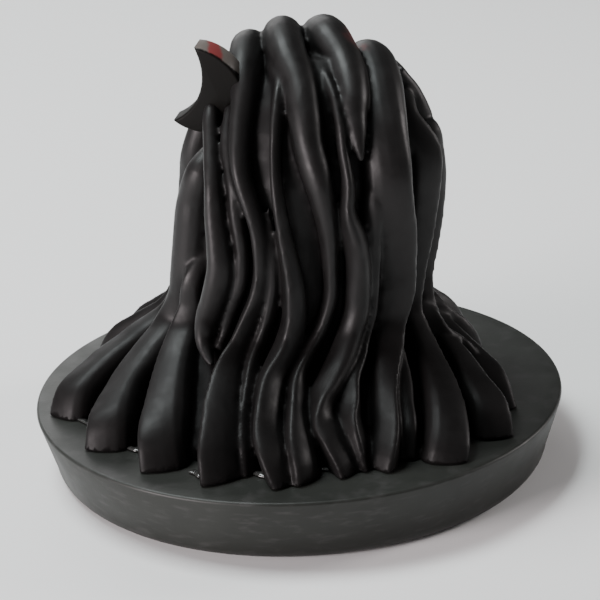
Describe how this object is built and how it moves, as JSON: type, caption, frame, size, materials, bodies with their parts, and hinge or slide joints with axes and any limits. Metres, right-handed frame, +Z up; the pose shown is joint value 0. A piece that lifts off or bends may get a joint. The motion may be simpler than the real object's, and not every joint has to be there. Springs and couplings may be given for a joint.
{
  "type": "shiva figurine",
  "caption": "Small resin bust of a deity whose matted locks fall over the crown to the seat, with a crescent in the hair, a coiled snake and beads, on a separate round plinth.",
  "frame": {"origin": "middle of the plinth's underside", "axes": "+Z up through the plinth, -Y the way the face looks, +Y the back with the falling locks"},
  "size_m": [0.1, 0.1, 0.0839],
  "materials": {
    "figure_resin": "near-black cast resin with a soft satin sheen",
    "plinth_resin": "dark grey cast resin, satin top and scuffed side"
  },
  "bodies": {
    "root": {"figure": "figure_resin", "plinth": "plinth_resin"}
  },
  "joints": []
}
